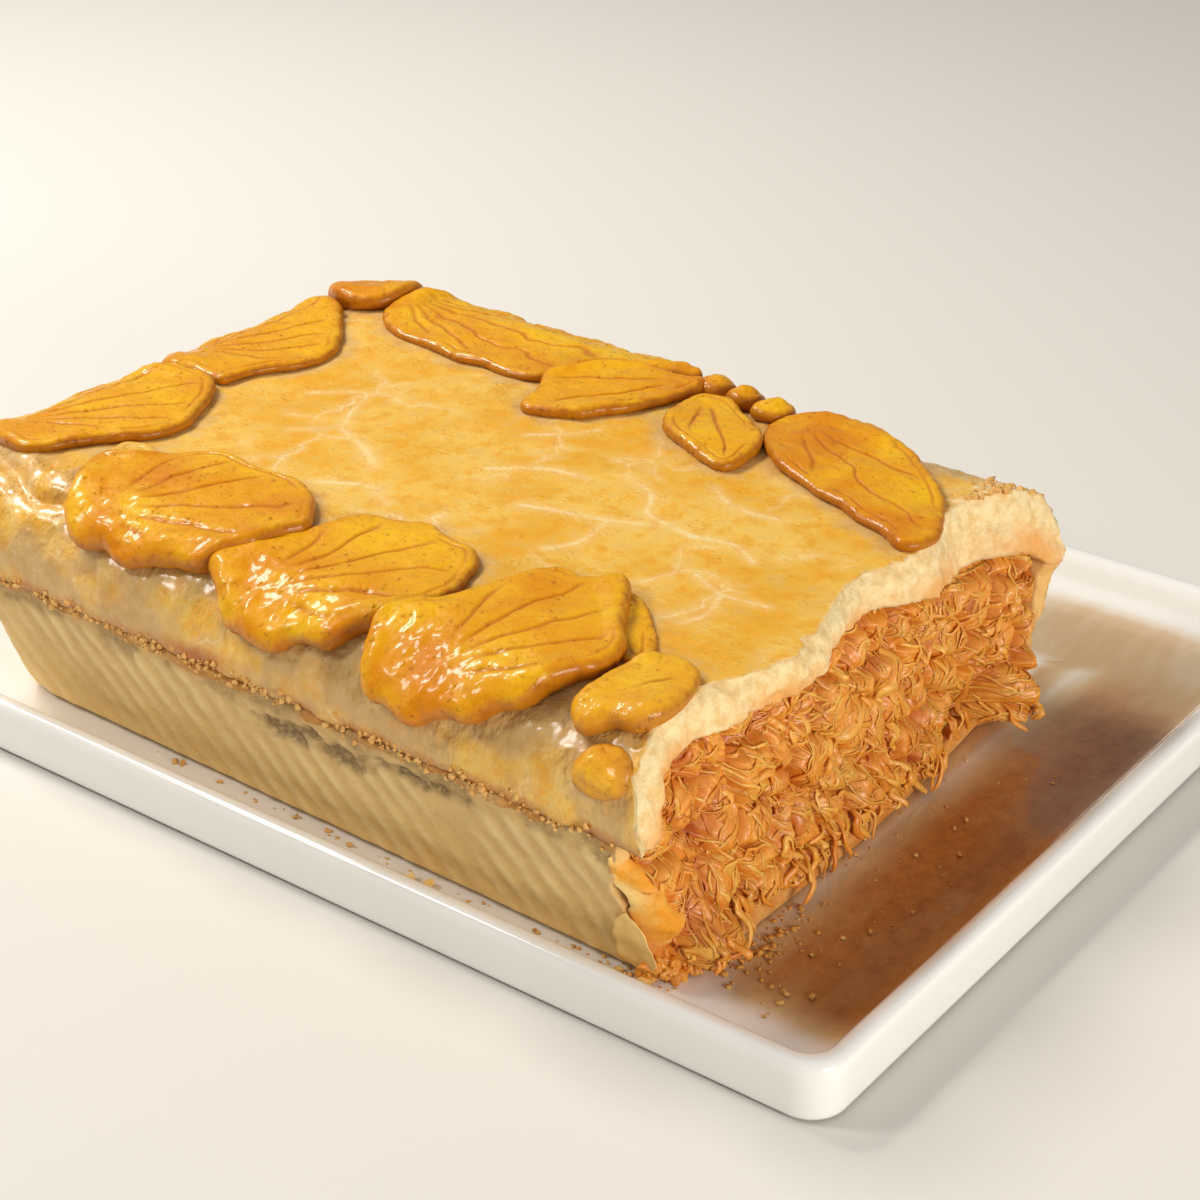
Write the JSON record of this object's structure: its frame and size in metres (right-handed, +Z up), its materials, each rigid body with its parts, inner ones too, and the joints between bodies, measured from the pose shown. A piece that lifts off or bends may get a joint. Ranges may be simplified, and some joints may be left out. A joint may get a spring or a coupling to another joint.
{
  "type": "chicken pot pie",
  "caption": "Rectangular raised chicken pie with a domed, leaf-trimmed pastry lid, cut open at one end to show its shredded filling, in a shallow white oblong dish.",
  "frame": {"origin": "centre of the dish's underside, on the surface that it stands on", "axes": "+X along the dish towards the pie's cut end, +Y across it to the far long side, +Z up"},
  "size_m": [0.3498, 0.2499, 0.0787],
  "materials": {
    "white_glaze": "white gloss glaze",
    "pale_crust": "matte baked dough, pale beige to tan",
    "egg_washed_crust": "egg-washed golden crust, satin",
    "baked_leaf": "glossy deep golden crust, browner at the edges",
    "chicken_in_sauce": "shredded chicken in orange tomato sauce, moist"
  },
  "bodies": {
    "root": {"dish": "white_glaze", "crust_case": "pale_crust", "filling": "chicken_in_sauce", "lid": "egg_washed_crust", "dough_scrap": "pale_crust", "leaf_far_corner": "baked_leaf", "leaf_far_long": "baked_leaf", "leaf_far_pointed": "baked_leaf", "leaf_far_right": "baked_leaf", "leaf_left_far": "baked_leaf", "leaf_left_near": "baked_leaf", "leaf_near_left": "baked_leaf", "leaf_near_middle": "baked_leaf", "leaf_near_right": "baked_leaf", "leaf_near_small": "baked_leaf", "button": "baked_leaf", "diamond": "baked_leaf", "bud_left": "baked_leaf", "bud_middle": "baked_leaf", "bud_right": "baked_leaf", "stem_strip": "baked_leaf"}
  },
  "joints": []
}
